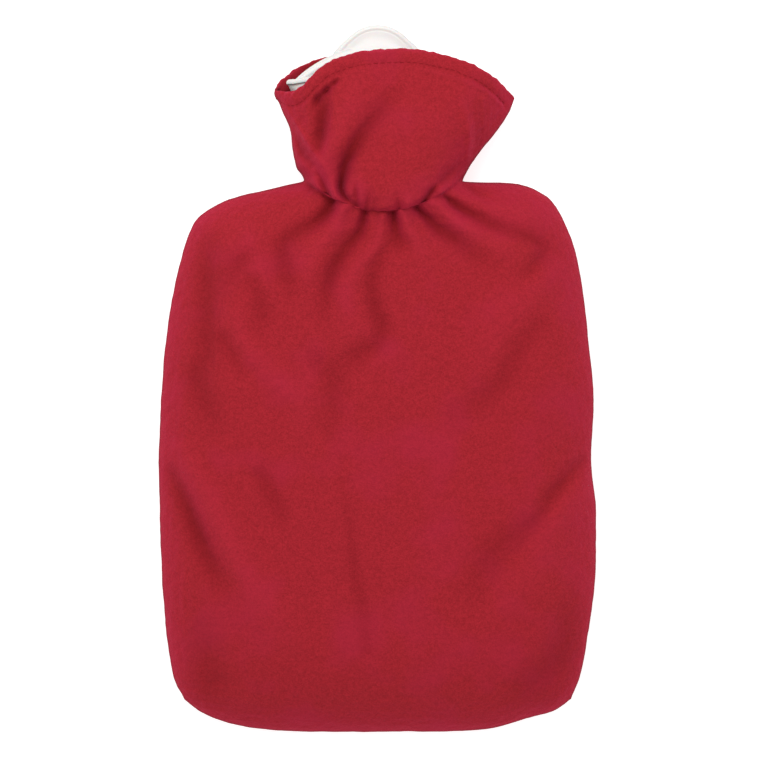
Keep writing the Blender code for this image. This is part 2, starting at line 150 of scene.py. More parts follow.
# %% [markdown]
# ## From the edge to the crown
#
# Between the seam and the crown the cloth climbs steeply, then flattens, as it does
# over the rounded side of a bottle. The climb depends on how far a place is from the
# nearest seam, measured in plan. The distances to the two side seams and to the
# bottom seam are blended, which rounds the crown where they meet at a corner.

# %% Plan and climb
CORNER_BLEND = 4.0
RISE_POWER = 2.2  # how full the cloth is across its edge
RISE_ROOT = 1.6  # how steeply it leaves the seam
HEM_TAKES_OVER = 2.5  # the hem's own line shapes this many sections below it
SIDE_POINTS_PER_SECTION = 6
BOTTOM_POINTS = 49


def places(side, across, at):
    """Where the cloth lies in plan, at shares across and sections along."""
    left_x, left_y = section("left_x", at), section("left_y", at)
    right_x, right_y = section("right_x", at), section("right_y", at)
    share = (across + 1) / 2
    x = left_x + (right_x - left_x) * share
    ends = left_y + (right_y - left_y) * share
    bow = section(side + "_y", at) - (left_y + right_y) / 2
    y = ends + bow * (1 - np.abs(across) ** section("bow_power", at))
    hem = smooth_through(
        column(HEM, HEM_COLUMNS, "across"), column(HEM, HEM_COLUMNS, side + "_y"), across
    )
    top = np.full_like(at, LAST)
    plain_ends = section("left_y", top) * (1 - share) + section("right_y", top) * share
    plain_bow = section(side + "_y", top) - (section("left_y", top) + section("right_y", top)) / 2
    plain = plain_ends + plain_bow * (1 - np.abs(across) ** section("bow_power", top))
    return x, y + (hem - plain) * shift_between(at, LAST - HEM_TAKES_OVER, LAST)


def distance_to_line(x, y, line_x, line_y):
    """Distance of each point from a bent line, and how far along it the nearest place is."""
    nearest = np.full(x.shape, np.inf)
    along = np.zeros(x.shape)
    for i in range(len(line_x) - 1):
        ax, ay = line_x[i], line_y[i]
        bx, by = line_x[i + 1] - ax, line_y[i + 1] - ay
        share = np.clip(((x - ax) * bx + (y - ay) * by) / (bx * bx + by * by), 0, 1)
        away = np.hypot(x - ax - share * bx, y - ay - share * by)
        closer = away < nearest
        nearest = np.where(closer, away, nearest)
        along = np.where(closer, (i + share) / (len(line_x) - 1), along)
    return nearest, along


def edge_distance(side, x, y):
    """Distance in from the seam that runs down the sides and across the bottom."""
    along = np.linspace(0, LAST, SIDE_POINTS_PER_SECTION * LAST + 1)
    over = np.linspace(-1, 1, BOTTOM_POINTS)
    lines = [
        (section("left_x", along), section("left_y", along)),
        (section("right_x", along), section("right_y", along)),
        places(side, over, np.zeros_like(over)),
    ]
    total = np.zeros_like(x)
    for line_x, line_y in lines:
        away = distance_to_line(x, y, line_x, line_y)[0]
        total += np.maximum(away, 1e-4) ** -CORNER_BLEND
    return total ** (-1 / CORNER_BLEND)


def rise(away, edge):
    """Share of its full height that the cloth has reached at a distance from the seam."""
    left = np.clip(1 - away / edge, 0, 1)
    return (1 - left ** RISE_POWER) ** (1 / RISE_ROOT)


# %% [markdown]
# ## Folds
#
# The elastic bunches the cloth at the neck, so troughs and pleats run out of it
# over the shoulders and up into the collar, and the slack of the body lies in long
# low waves. A simulation would put folds somewhere, but not where these are, so
# each one is listed: a few places along it, each with a half width and a
# height, which is negative in a trough. A sharpness of 2 is a soft swell, and one
# near 1.5 is a pinched crease with a clear bottom line. The table groups the folds
# by panel, and by the part of it where they end: body, collar, or across both.

# %% Fold table
# A name, then its sharpness, and x, y, half width and height at each place
FOLDS = {
    ("front", "body"): {
        # troughs and pleats that run out of the gather over the shoulders
        "left_neck_tuck": (1.4, ((-34, 93.5, 1.8, -2.0), (-29, 90, 2.0, -3.0), (-24, 86.5, 2.0, -3.4))),
        "left_gather": (1.6, (
            (-20.6, 86, 2.2, -5.0), (-25, 79.5, 3.4, -4.6), (-30, 75, 3.6, -3.6),
            (-37.6, 71, 4.2, -2.6), (-45.5, 63, 4.6, -2.6), (-44.5, 53, 4.6, -2.4),
            (-41, 42, 5.5, -1.2),
        )),
        "left_pleat": (2.0, (
            (-15, 83, 2.6, 2.0), (-20.5, 72, 3.5, 2.0), (-30, 61, 5.0, 1.6), (-33.5, 51, 5.5, 1.3),
            (-32.4, 44, 6.0, 0.6),
        )),
        "centre_left_gather": (1.6, (
            (-6, 80, 1.8, -4.2), (-8, 72, 2.4, -4.2), (-15.5, 62, 3.6, -3.6), (-21.6, 51.5, 4.0, -3.6),
            (-24, 41.5, 4.4, -2.6), (-25.2, 30, 5.5, -1.2),
        )),
        "centre_left_pleat": (2.0, (
            (2.5, 78, 2.4, 2.0), (-1, 63.5, 3.6, 2.0), (-9.6, 53.5, 5.0, 1.8), (-14.4, 44, 6.0, 1.7),
            (-15.6, 33, 6.5, 1.5), (-11, 22, 7.5, 0.8),
        )),
        "centre_gather": (1.5, ((7.5, 80, 1.8, -4.2), (8.6, 71.5, 2.4, -3.7), (12, 64, 3.4, -2.0))),
        "centre_run": (1.8, (
            (7, 66, 2.4, -1.0), (0.5, 56, 3.4, -2.0), (-3, 45.5, 3.8, -2.4), (-1, 33.5, 4.0, -2.6),
            (1.8, 25, 4.2, -2.6), (0, 17.5, 4.4, -2.2), (-8.4, 12.5, 5.0, -2.2), (-16, 6.5, 6.0, -1.2),
        )),
        "centre_right_pleat": (2.0, (
            (11, 80, 2.2, 2.4), (15.6, 70.5, 3.6, 2.8), (20.4, 63, 5.0, 1.8), (25, 56, 6.0, 0.6),
        )),
        "right_gather": (1.6, (
            (18.5, 82.4, 1.5, -4.6), (23.5, 77.5, 2.2, -4.4), (28.6, 72.6, 3.2, -3.9),
            (36, 68, 3.8, -3.2), (44.4, 62, 4.8, -2.2), (56, 54, 6.5, -0.8),
        )),
        "shoulder_pleat": (2.0, (
            (27, 84, 2.4, 2.2), (37, 76.5, 3.6, 2.2), (47, 69.5, 4.8, 1.8), (61, 61, 6.5, 1.4),
            (64, 54, 7.0, 0.6),
        )),
        "far_right_gather": (1.6, (
            (32, 87.5, 1.5, -4.6), (38.5, 82.5, 2.6, -4.0), (49, 77, 3.4, -3.2), (60, 71.7, 4.2, -2.4),
            (72, 68, 4.6, -2.2), (79, 62, 4.8, -2.2), (74.5, 52.5, 5.5, -2.4), (68, 46, 6.5, -1.0),
        )),
        "far_right_pleat": (2.0, ((38, 89, 2.4, 1.4), (52, 82.5, 4.0, 1.4), (68, 78, 5.0, 0.8))),
        "top_right_gather": (1.5, ((43, 93, 1.6, -2.2), (46, 90, 2.2, -1.8), (52, 86.5, 3.0, -0.8))),
        # long low waves of the slack body
        "left_hollow": (2.0, (
            (-80.5, 66, 5.0, -1.2), (-81.6, 47.5, 5.5, -2.2), (-81.6, 28, 6.0, -2.2),
            (-82.2, 11.5, 6.0, -2.2), (-86, 1, 6.0, -2.4), (-82, -12, 6.5, -2.0), (-78, -22, 7.0, -1.0),
        )),
        "left_wave": (2.0, (
            (-68.5, 30, 5.0, 1.4), (-62.5, 14, 5.5, 1.8), (-54, 5.5, 6.0, 1.6), (-45.5, -3, 7.0, 1.6),
            (-37, -12.5, 7.5, 1.4), (-32.5, -30, 8.0, 0.6),
        )),
        "upper_left_hollow": (2.0, ((-62, 58, 4.5, -1.8), (-69, 51, 5.5, -1.4), (-73, 43, 6.0, -0.6))),
        "upper_left_dip": (2.0, ((-59, 46, 4.0, -1.8), (-55, 34, 5.0, -1.8), (-57, 23, 6.0, -0.8))),
        "upper_left_wave": (2.0, (
            (-61, 66, 4.0, 0.8), (-56, 50, 5.0, 1.2), (-51, 40, 5.0, 0.9), (-47, 34, 5.0, 0.5),
        )),
        "left_dip": (2.0, ((-73, 19, 3.8, -1.6), (-69, 11, 4.2, -1.8), (-65, 4, 4.6, -1.0))),
        "middle_left_dip": (2.0, ((-29, 9, 5.0, -1.2), (-21, -4, 6.0, -1.6), (-25, -25, 7.0, -1.0))),
        "low_left_hollow": (1.9, (
            (-98, -44, 4.0, -2.0), (-92, -57, 4.8, -3.4), (-86, -72, 5.4, -4.0), (-79, -88, 6.0, -3.2),
            (-72, -99, 6.5, -1.6),
        )),
        "low_left_wave": (2.0, (
            (-94, -34, 5.0, 1.6), (-86, -50, 6.0, 2.4), (-78, -66, 7.0, 2.8), (-70, -83, 8.0, 2.6),
            (-58, -103, 8.5, 2.0), (-44, -123, 9.0, 0.8),
        )),
        "low_left_dip": (2.0, ((-56, -46, 4.5, -1.6), (-51, -56, 4.6, -1.8), (-46, -67, 4.6, -1.2))),
        "left_foot_hollow": (2.0, (
            (-86, -112, 7.0, -0.4), (-83, -128, 8.5, -1.5), (-79, -144, 9.5, -1.8),
        )),
        "right_foot_hollow": (2.0, (
            (92, -100, 7.0, -0.4), (91, -118, 8.0, -1.6), (86, -134, 9.0, -2.2), (72, -147, 9.0, -1.4),
        )),
        "centre_crease": (2.0, (
            (-17, -50, 3.0, -0.6), (-13, -75, 3.0, -1.0), (-11, -93, 3.2, -1.4), (-7, -112, 3.4, -1.2),
            (-5, -130, 3.5, -1.0),
        )),
        "right_wave": (2.0, (
            (79, 50, 6.0, 1.4), (70, 38, 8.0, 1.8), (58, 26, 9.0, 1.6), (50, 6, 10.0, 0.8),
        )),
        "right_hollow": (2.0, (
            (77, 26, 5.0, -1.2), (68.5, 16, 6.0, -1.6), (60, 0, 6.5, -1.9), (51.5, -8, 7.0, -1.6),
            (39, -18, 8.0, -0.8),
        )),
        "low_right_hollow": (1.9, (
            (97, -40, 4.0, -1.6), (91, -47, 4.4, -2.2), (84, -55.5, 4.6, -2.5), (77, -67, 5.0, -2.0),
            (64, -77, 8.0, -1.8), (56, -84, 9.0, -1.8), (46, -102, 9.5, -1.0),
        )),
        "low_right_wave": (2.0, (
            (100, -49, 5.5, 1.2), (92, -60, 6.5, 1.6), (83, -75, 8.0, 1.4), (70, -98, 9.0, 1.3),
            (53, -115, 9.5, 0.6),
        )),
    },
    ("front", "collar"): {
        # from the mouth down
        "mouth_crease": (1.6, (
            (-18.5, 143.4, 1.0, -1.0), (-20.6, 141.8, 1.2, -3.6), (-22.4, 140.3, 1.3, -2.4),
            (-24.4, 138.4, 1.5, -5.0), (-26.4, 136.4, 1.6, -3.2), (-28.4, 134.3, 1.9, -4.8),
            (-30.6, 130, 2.2, -1.2),
        )),
        "mouth_hollow": (1.9, (
            (-23.6, 136, 2.6, -1.2), (-25.8, 128, 3.6, -3.8), (-27, 118, 3.7, -4.6),
            (-28, 110, 3.2, -2.4),
        )),
        "collar_pleat": (1.6, (
            (8, 137, 4.5, -1.0), (1, 129, 4.5, -2.2), (-6, 120, 4.2, -3.4), (-11.6, 111, 3.8, -4.6),
            (-16, 101, 3.0, -5.8), (-17.5, 91, 2.0, -6.4), (-14, 85.6, 1.5, -3.6),
            (-9.5, 82.6, 1.3, -2.0),
        )),
        "collar_roll": (2.0, (
            (-8, 146, 6.0, 0.8), (-13, 130, 6.0, 1.3), (-18, 117, 5.0, 1.7), (-24, 107, 4.0, 1.9),
            (-25.5, 100, 3.5, 1.6),
        )),
        "left_layer": (1.6, (
            (-44.5, 131, 1.2, 1.2), (-39, 122, 1.2, 2.2), (-33.9, 114, 1.3, 2.6),
            (-29.2, 107, 1.5, 2.2), (-25.6, 101, 1.8, 1.4),
        )),
        "left_layer_hollow": (2.0, (
            (-42.4, 122, 1.6, -1.6), (-39, 115, 2.2, -2.8), (-35.6, 108.5, 2.6, -2.8),
            (-31.5, 102.5, 2.2, -1.4),
        )),
        "left_puff": (2.0, ((-37, 103, 2.6, 0.8), (-33.6, 99, 2.8, 1.8), (-30.5, 95.5, 2.6, 1.4))),
        "left_collar_tuck": (1.6, (
            (-28, 98, 1.4, -1.6), (-26, 93, 1.8, -3.0), (-23.5, 87.5, 2.0, -3.8),
        )),
        "left_collar_stripe": (2.0, (
            (-24, 99, 1.6, 1.0), (-22.2, 93, 1.7, 1.6), (-20.8, 88, 1.5, 1.4),
        )),
        "dome_tuck": (1.7, ((-10.6, 93, 1.0, -0.8), (-10.4, 88.5, 1.2, -1.8), (-9.8, 84, 1.5, -2.2))),
        # pinches and swells where the collar meets the gather
        "left_foot_pinch": (1.7, (
            (-3.6, 90, 1.1, -0.6), (-4.6, 85.5, 1.3, -1.8), (-5.4, 81, 1.7, -2.8),
        )),
        "middle_foot_pinch": (1.7, ((-1, 88, 1.0, -0.4), (-1.6, 85, 1.1, -1.0), (-2, 81, 1.3, -1.6))),
        "right_foot_pinch": (1.7, ((9.2, 88, 1.0, -0.4), (10, 84, 1.2, -1.8), (10.5, 80, 1.6, -3.0))),
        "foot_puff": (2.0, ((-9.4, 95, 1.6, 0.5), (-8, 90, 1.9, 1.2), (-7.6, 86, 1.8, 1.0))),
        "foot_puff_right": (2.0, ((6.5, 92, 2.6, 0.5), (6, 87, 3.0, 1.0), (6, 83, 2.8, 0.8))),
        "dome": (2.0, ((12, 124, 20.0, 0.8), (14, 110, 18.0, 1.2), (8, 92, 14.0, 1.6))),
        "ear_ridge": (1.8, (
            (38, 140, 1.8, 0.4), (42, 128, 1.7, 1.2), (44.2, 116, 1.6, 2.0), (44, 104, 1.5, 2.0),
        )),
        "ear_hollow": (2.0, (
            (47, 131, 3.0, -0.4), (48.4, 120, 3.2, -0.8), (48, 111, 2.8, -1.0), (46, 105, 2.2, -0.8),
        )),
        "ear_flat": (2.0, ((62, 138, 15.0, -3.0), (58, 124, 13.0, -3.0), (51, 108, 8.0, -1.8))),
        "neck_crease": (1.6, (
            (20.8, 82.5, 1.5, -4.4), (25.6, 89.6, 1.8, -4.2), (30.5, 94.6, 2.4, -2.6),
            (38.5, 102, 3.2, -1.4),
        )),
        "neck_roll": (2.0, ((31, 87, 2.0, 1.6), (35, 91, 2.2, 1.6), (40, 97, 2.6, 1.0))),
    },
    ("front", "across"): {
        # cloth that runs over the elastic from the collar to the body
        "left_bridge": (2.0, ((-21, 94, 1.5, 0.4), (-18.8, 85.5, 1.8, 2.2), (-17, 78, 1.8, 0.4))),
        "far_left_bridge": (2.0, ((-31, 97, 1.3, 0.2), (-28.4, 91.2, 1.5, 1.8), (-26.6, 86, 1.5, 0.3))),
        "right_bridge": (2.0, ((14, 90, 2.2, 0.3), (14.8, 82.5, 2.5, 2.8), (15.2, 77, 2.6, 0.8))),
        "far_right_bridge": (2.0, (
            (27.5, 96.5, 1.8, 0.2), (30.4, 89.5, 2.3, 2.4), (33.6, 84, 2.2, 0.6),
        )),
    },
    ("back", "body"): {
        # the back is pressed against the table, so its folds only lift it a little
        "back_left_gather": (1.6, ((-24, 91, 3.0, 2.8), (-36, 76, 4.5, 2.0), (-48, 64, 7.0, 0.6))),
        "back_mid_left_gather": (1.6, ((-14, 91, 2.6, 2.2), (-20, 77, 4.0, 1.4), (-27, 66, 6.0, 0.4))),
        "back_centre_gather": (1.6, ((-3, 91, 3.0, 2.6), (-4, 76, 4.5, 1.8), (-8, 62, 7.0, 0.5))),
        "back_mid_right_gather": (1.6, ((9, 91, 2.6, 2.2), (13, 77, 4.0, 1.4), (16, 66, 6.0, 0.4))),
        "back_right_gather": (1.6, ((22, 91, 3.0, 2.8), (33, 76, 4.5, 2.0), (46, 65, 7.0, 0.6))),
    },
    ("back", "collar"): {
        "back_ear_flat": (2.0, ((61, 139, 9.0, 7.0), (56, 122, 8.0, 5.0), (49, 107, 6.0, 2.0))),
        "back_left_pleat": (1.7, ((-17, 96, 3.0, 2.8), (-21, 112, 4.5, 2.0), (-25, 132, 6.0, 0.6))),
        "back_mid_pleat": (1.7, ((-2, 96, 3.0, 2.4), (-3, 110, 4.5, 1.6), (-1, 124, 6.0, 0.5))),
        "back_right_pleat": (1.7, ((15, 96, 3.0, 2.8), (21, 112, 4.5, 2.0), (27, 130, 6.0, 0.6))),
    },
}

# %% Heights of the folds
FOLD_STEPS = 7  # places measured between two of a fold's own
FOLD_REACH = 3.2  # a fold is worked out over this many of its half widths
BROAD = 12.0  # a swell with a half width over this is a shape, not a crease
SEAM_EASE = 4.5  # a fold dies out over this width beside the seam
BODY_ENDS = (GATHER - 0.2, GATHER + 0.8)  # where the body's folds die out, in sections
COLLAR_STARTS = (GATHER + 0.3, GATHER + 1.3)


def one_fold(x, y, sharpness, places_along):
    """The points that a fold reaches, the height it adds there, and its widest half width."""
    table = np.array(places_along, dtype=float)
    knots = np.arange(len(table), dtype=float)
    steps = np.linspace(0, len(table) - 1, (len(table) - 1) * FOLD_STEPS + 1)
    line_x, line_y, widths, heights = (smooth_through(knots, table[:, k], steps) for k in range(4))
    reach = FOLD_REACH * widths.max()
    near = (x > line_x.min() - reach) & (x < line_x.max() + reach)
    near &= (y > line_y.min() - reach) & (y < line_y.max() + reach)
    away, along = distance_to_line(x[near], y[near], line_x, line_y)
    place = along * (len(steps) - 1)
    width = np.interp(place, np.arange(len(steps)), widths)
    height = np.interp(place, np.arange(len(steps)), heights)
    return near, height * np.exp(-((away / width) ** sharpness)), widths.max()


def fold_heights(side, x, y, at):
    """Height that a panel's folds add at each of its points, in all and in creases."""
    total = np.zeros_like(x)
    creased = np.zeros_like(x)
    shares = {
        "body": 1 - shift_between(at, *BODY_ENDS),
        "collar": shift_between(at, *COLLAR_STARTS),
        "across": np.ones_like(at),
    }
    for (owner, part), folds in FOLDS.items():
        if owner != side:
            continue
        for sharpness, places_along in folds.values():
            near, added, widest = one_fold(x, y, sharpness, places_along)
            total[near] += shares[part][near] * added
            if widest < BROAD:
                creased[near] += shares[part][near] * added
    return total, creased


print("folds:", sum(len(folds) for folds in FOLDS.values()), "placed by hand")

# %% [markdown]
# ## Pile and puckers
#
# Fleece is never a clean surface: its pile stands in small tufts, and the seam
# draws the cloth into slight puckers. A sum of plane waves in fixed random
# directions gives such lumps at a chosen size, with no grain in any direction. The
# random numbers have a fixed seed, so the cover is the same each time.

# %% Lumps
WAVES = 22
LENGTHS = (0.7, 1.5)  # shortest and longest wave, as shares of the size asked for


def lumps(x, y, z, size, seed):
    """Smooth lumps about as wide as size, mostly between -1 and 1."""
    draw = np.random.default_rng(seed)
    total = np.zeros_like(x)
    for _ in range(WAVES):
        direction = draw.normal(size=3)
        direction *= 2 * math.pi / (size * 2 * draw.uniform(*LENGTHS) * np.linalg.norm(direction))
        phase = draw.uniform(0, 2 * math.pi)
        total += np.sin(direction[0] * x + direction[1] * y + direction[2] * z + phase)
    return total / math.sqrt(WAVES)


# %% [markdown]
# ## From a bmesh to a piece
#
# Every piece below is shaped in a bmesh, Blender's own form for editing a mesh. When
# its shape is done, it is written to a mesh, shaded smooth and put into the scene.

# %% Finish a piece
def piece_from(build, name):
    mesh = bpy.data.meshes.new(name)
    build.to_mesh(mesh)
    build.free()
    mesh.shade_smooth()
    piece = bpy.data.objects.new(name, mesh)
    bpy.context.scene.collection.objects.link(piece)
    print(name, "has", len(mesh.polygons), "faces")
    return piece


# %% [markdown]
# ## A panel with a turned hem
#
# Each panel is one open grid of small squares. Its columns run from seam to seam and
# are crowded towards them, where the cloth is steepest. Its rows run from the bottom
# seam to the top, and then go on: round the fold of the hem, and down inside it. So
# the hem is the same cloth turned over, as it is sewn. A groove marks the stitching
# that holds the turned edge down. The grid gets its thickness last, from Solidify.

# %% Panel settings
CLOTH = 2.0  # thickness of the fleece with its pile pressed, mm
SEAM_GAP = 0.06
SEAM_TUCK = 0.9  # the seam lies this far in from the fullest edge
SEAM_TUCK_HIGH = 1.5
TUCK_FADES = (2, 5)  # the tuck dies out between these distances from the seam
# Where the seam is drawn further in, or less than 0 where it stands further out:
# share across, section, distance and half width
DRAWN = (
    (-1, 0, 1.3, 7.0),
    (1, 0, 1.3, 7.0),
    (0.71, 0, 1.4, 9.0),
    (0.82, 0, 1.5, 8.0),
    (-1, LAST, 0.8, 2.0),
    (-1, LAST - 0.3, -0.9, 3.0),
)
SEAM_PAINTED_SHADE = 5.0  # painted shade beside the seam, as dark as in a crease this deep
SEAM_PAINTED_SHADE_WIDE = 0.9
HEM_INSIDE_SHADE = 3.2  # painted shade inside the hem, as dark as in a crease this deep
INSIDE_STARTS = (0.35, 1.0)  # where the painted shade inside the hem starts, in shares of the way round its fold
CROWDING = 1.6
SPINE_LOW, SPINE_HIGH = -95.0, 150.0  # the line that a tuck draws towards
SPINE_WIDE = 0.2  # its half width, as a share of the distance from it
PANELS = {"front": {"columns": 168, "up": 1}, "back": {"columns": 112, "up": -1}}

# %% Hem settings
HEM_ROLL = 2.3  # outer radius of the fold of the hem
HEM_ROLL_ROWS = 9
HEM_DEEP = 9.5  # the turned edge reaches this far down inside
HEM_DEEP_ROWS = 8
HEM_EASE = 7.0  # the hem is smaller within this distance of a seam
LEAST_ROLL = 0.3  # share of its radius and of its depth that is left at the seam
LEAST_DEEP = 0.35
HEM_SWELL = 0.35  # the hem stands up above the stitching
STITCH_DOWN = 7.4  # stitching below the fold of the hem
STITCH_WIDE = 1.1
STITCH_DEEP = 0.7
STITCH_PINCH = 0.3  # how far the stitching draws the inside towards the outside
STITCH_STARTS = (1, 5)  # the groove starts between these distances from the seam
GROOVE_PAINTED_SHADE = 0.4  # share of the groove's depth that is painted as shade, as in a crease
HEM_PUFF = 0.5  # below the stitching the cloth stands up a little, on the right
PUFF_DOWN = 2.3
PUFF_STARTS = (12, 34)
# the puff below the stitching is painted lighter, as a highlight
PUFF_PAINTED_HIGHLIGHT = 3.0

# %% Pile settings
PILE = 0.16  # height of the tufts
PILE_WIDE = 2.4
PILE_AT_SEAM = 0.3  # share of its height beside the seam, where it is sewn down
PILE_EASE = 4
HEM_TUFTS = 0.22  # the pile stands further out round the fold of the hem
HEM_TUFTS_WIDE = 1.7
HEM_WORN = 0.6  # share that is worn down on the right
HEM_WORN_FROM = (15, 45)
PUCKER = 0.09
PUCKER_LONG = 7.0
PUCKER_WIDE = 9
TABLE_CLEAR = 0.05


def grid_lines(side):
    """Where the lines of a panel's grid lie, across it and along it."""
    half = np.linspace(0, 1, PANELS[side]["columns"] // 2 + 1)
    half = 1 - (1 - half) ** CROWDING
    across = np.concatenate((-half[::-1], half[1:]))
    at = [0.0]
    for i, rows in enumerate(column(SECTIONS, SECTION_COLUMNS, side + "_rows")[:-1]):
        crowding = CROWDING if i == 0 else 1
        at += [i + ((k + 1) / rows) ** crowding for k in range(int(rows))]
    return across, np.array(at)


def surface(side, across, at):
    """The outside of a panel before its hem is turned, how deep its folds are, and painted shade by the
    seam.
    """
    up = PANELS[side]["up"]
    x, y = places(side, across, at)
    away = edge_distance(side, x, y)
    start = section("seam_z", at) + up * SEAM_GAP / 2
    middle = section(side + "_z", at)
    z = start + (middle - start) * rise(away, section(side + "_edge", at))
    ease = shift_between(away, 0, SEAM_EASE)
    folds, creased = (heights * ease for heights in fold_heights(side, x, y, at))
    z = z + folds
    to_spine_x = np.clip(x, -SPINE_WIDE * np.abs(x), SPINE_WIDE * np.abs(x)) - x
    to_spine_y = np.clip(y, SPINE_LOW, SPINE_HIGH) - y
    reach = np.maximum(np.hypot(to_spine_x, to_spine_y), 1e-6)
    tuck = SEAM_TUCK * np.exp(-(((z - start) / SEAM_TUCK_HIGH) ** 2))
    tuck = tuck * (1 - shift_between(away, *TUCK_FADES))
    for over, row, inward, half_width in DRAWN:
        end_x, end_y = places(side, np.array(float(over)), np.array(float(row)))
        tuck = tuck + inward * np.exp(-((np.hypot(x - end_x, y - end_y) / half_width) ** 2))
    # painted shade beside the seam, carried with the crease depth into the colour
    creased = creased - SEAM_PAINTED_SHADE * np.exp(-((away / SEAM_PAINTED_SHADE_WIDE) ** 2))
    x = x + to_spine_x / reach * tuck
    y = y + to_spine_y / reach * tuck
    return np.stack((x, y, z), axis=-1), away, creased


def unit(vectors):
    return vectors / np.maximum(np.linalg.norm(vectors, axis=-1, keepdims=True), 1e-9)


def facing(points, up):
    """Which way the outside faces at each point of a sheet of points."""
    over = np.gradient(points, axis=1)
    along = np.gradient(points, axis=0)
    return unit(np.cross(over, along)) * up


print("a panel's cloth is", CLOTH, "mm thick, turned over by", HEM_DEEP, "mm at the hem")

# %% Work out a panel
def panel_points(side):
    """Every point of a panel, row by row, with its hem turned, and its crease depth with painted
    shading.
    """
    up = PANELS[side]["up"]
    across, at = grid_lines(side)
    # the last section is shortened in each column, so that the fold ends at the hem
    grid_across, grid_at = np.meshgrid(across, at)
    step = 0.2
    before = surface(side, across, np.full_like(across, LAST - step))[0]
    top, edge_away, _ = surface(side, across, np.full_like(across, LAST))
    share = shift_between(edge_away, 0, HEM_EASE)
    roll = HEM_ROLL * (LEAST_ROLL + (1 - LEAST_ROLL) * share)
    shorter = step * roll / np.linalg.norm(top - before, axis=1)
    in_last = np.clip(grid_at - (LAST - 1), 0, 1)
    points, away, folds = surface(side, grid_across, grid_at - in_last * shorter)
    outward = facing(points, up)
    # the stitching presses a groove below the hem
    lengths = np.linalg.norm(np.diff(points, axis=0), axis=2)
    below = np.concatenate((np.cumsum(lengths[::-1], axis=0)[::-1], np.zeros((1, len(across)))))
    below = below + roll
    groove = STITCH_DEEP * np.exp(-(((below - STITCH_DOWN) / STITCH_WIDE) ** 2))
    swell = HEM_SWELL * np.exp(-(((below - STITCH_DOWN / 2) / (STITCH_DOWN / 3)) ** 2))
    puffed = HEM_PUFF * np.exp(-((below - STITCH_DOWN - PUFF_DOWN) ** 2))
    puffed = puffed * shift_between(points[..., 0], *PUFF_STARTS)
    off_seam = shift_between(away, *STITCH_STARTS)
    points = points + outward * ((swell - groove + puffed) * off_seam)[..., None]
    # painted highlight on the puff and painted shade in the groove
    folds = folds + (PUFF_PAINTED_HIGHLIGHT * puffed - GROOVE_PAINTED_SHADE * groove) * off_seam
    # the fold of the hem, and the turned edge inside
    last = points[-1]
    normal = outward[-1]
    climb = points[-1] - points[-2]
    climb = unit(climb - normal * np.sum(climb * normal, axis=1, keepdims=True))
    centre = last - normal * roll[:, None]
    rows = []
    for k in range(1, HEM_ROLL_ROWS + 1):
        turn = math.pi * k / HEM_ROLL_ROWS
        rows.append(centre + roll[:, None] * (normal * math.cos(turn) + climb * math.sin(turn)))
    for k in range(1, HEM_DEEP_ROWS + 1):
        down = HEM_DEEP * k / HEM_DEEP_ROWS * (LEAST_DEEP + (1 - LEAST_DEEP) * share)
        inner = rows[HEM_ROLL_ROWS - 1] - climb * down[:, None]
        pinch = STITCH_PINCH * np.exp(-(((down - STITCH_DOWN + roll) / STITCH_WIDE) ** 2))
        rows.append(inner + normal * pinch[:, None])
    # painted shade inside the turned hem, deepening round its fold
    inside = shift_between(np.arange(1, len(rows) + 1) / HEM_ROLL_ROWS, *INSIDE_STARTS)
    depth = np.concatenate((folds, folds[-1:] - HEM_INSIDE_SHADE * inside[:, None]))
    away = np.concatenate((away, np.repeat(away[-1:], len(rows), axis=0)))
    points = np.concatenate((points, np.array(rows)))
    # pile and puckers stand out from the finished surface
    outward = facing(points, up)
    x, y, z = points[..., 0], points[..., 1], points[..., 2]
    hem_row = len(points) - 1 - HEM_ROLL_ROWS - HEM_DEEP_ROWS
    rolled = np.exp(-((np.arange(len(points)) - hem_row - HEM_ROLL_ROWS / 2) / HEM_ROLL_ROWS) ** 2)
    pile = PILE * (PILE_AT_SEAM + (1 - PILE_AT_SEAM) * shift_between(away, 0, PILE_EASE))
    worn = 1 - HEM_WORN * shift_between(x, *HEM_WORN_FROM)
    tufts = pile * lumps(x, y, z, PILE_WIDE, seed=3)
    tufts = tufts + HEM_TUFTS * rolled[:, None] * worn * lumps(x, y, z, HEM_TUFTS_WIDE, seed=9)
    pucker = PUCKER * lumps(x, y, z, PUCKER_LONG, seed=5) * np.exp(-away / PUCKER_WIDE)
    points = points + outward * (tufts + pucker)[..., None]
    if side == "back":
        points[..., 2] = np.maximum(points[..., 2], TABLE_CLEAR)
    return points, depth


def panel_piece(side):
    """A panel as a piece: a grid with every point moved to its place, then thickened."""
    points, depth = panel_points(side)
    rows, columns = points.shape[0] - 1, points.shape[1] - 1
    build = bmesh.new()
    bmesh.ops.create_grid(build, x_segments=columns, y_segments=rows, size=1.0)
    # the crease depth with painted shade and highlight, stored for the colour
    painted_shading = build.verts.layers.float.new("painted_shading")
    for vert in build.verts:
        i = round((vert.co.x + 1) / 2 * columns)
        j = round((vert.co.y + 1) / 2 * rows)
        vert.co = points[j, i] * MM
        vert[painted_shading] = depth[j, i]
    bmesh.ops.remove_doubles(build, verts=build.verts, dist=0.005 * MM)
    if side == "back":
        bmesh.ops.reverse_faces(build, faces=build.faces)
    cloth = piece_from(build, side + "_cover")
    thicken = cloth.modifiers.new("cloth", "SOLIDIFY")
    thicken.thickness = CLOTH * MM
    thicken.offset = -1
    thicken.thickness_clamp = 2.0
    return cloth, points


front_cover, front_points = panel_piece("front")
back_cover, back_points = panel_piece("back")

# %% [markdown]
# ## Stitches
#
# A sewing machine's running stitch shows as a row of short threads in the groove
# under the hem. One stitch is a small ball, stretched along the hem and half sunk
# into the pile. All the stitches of a hem are joined into one mesh, since they are
# never handled one by one.

# %% Sew the hems
STITCH_LONG = 2.4
STITCH_STEP = 3.1
THREAD = 0.21  # radius
ENDS_BARE = 4  # the panel's first and last columns have no stitches


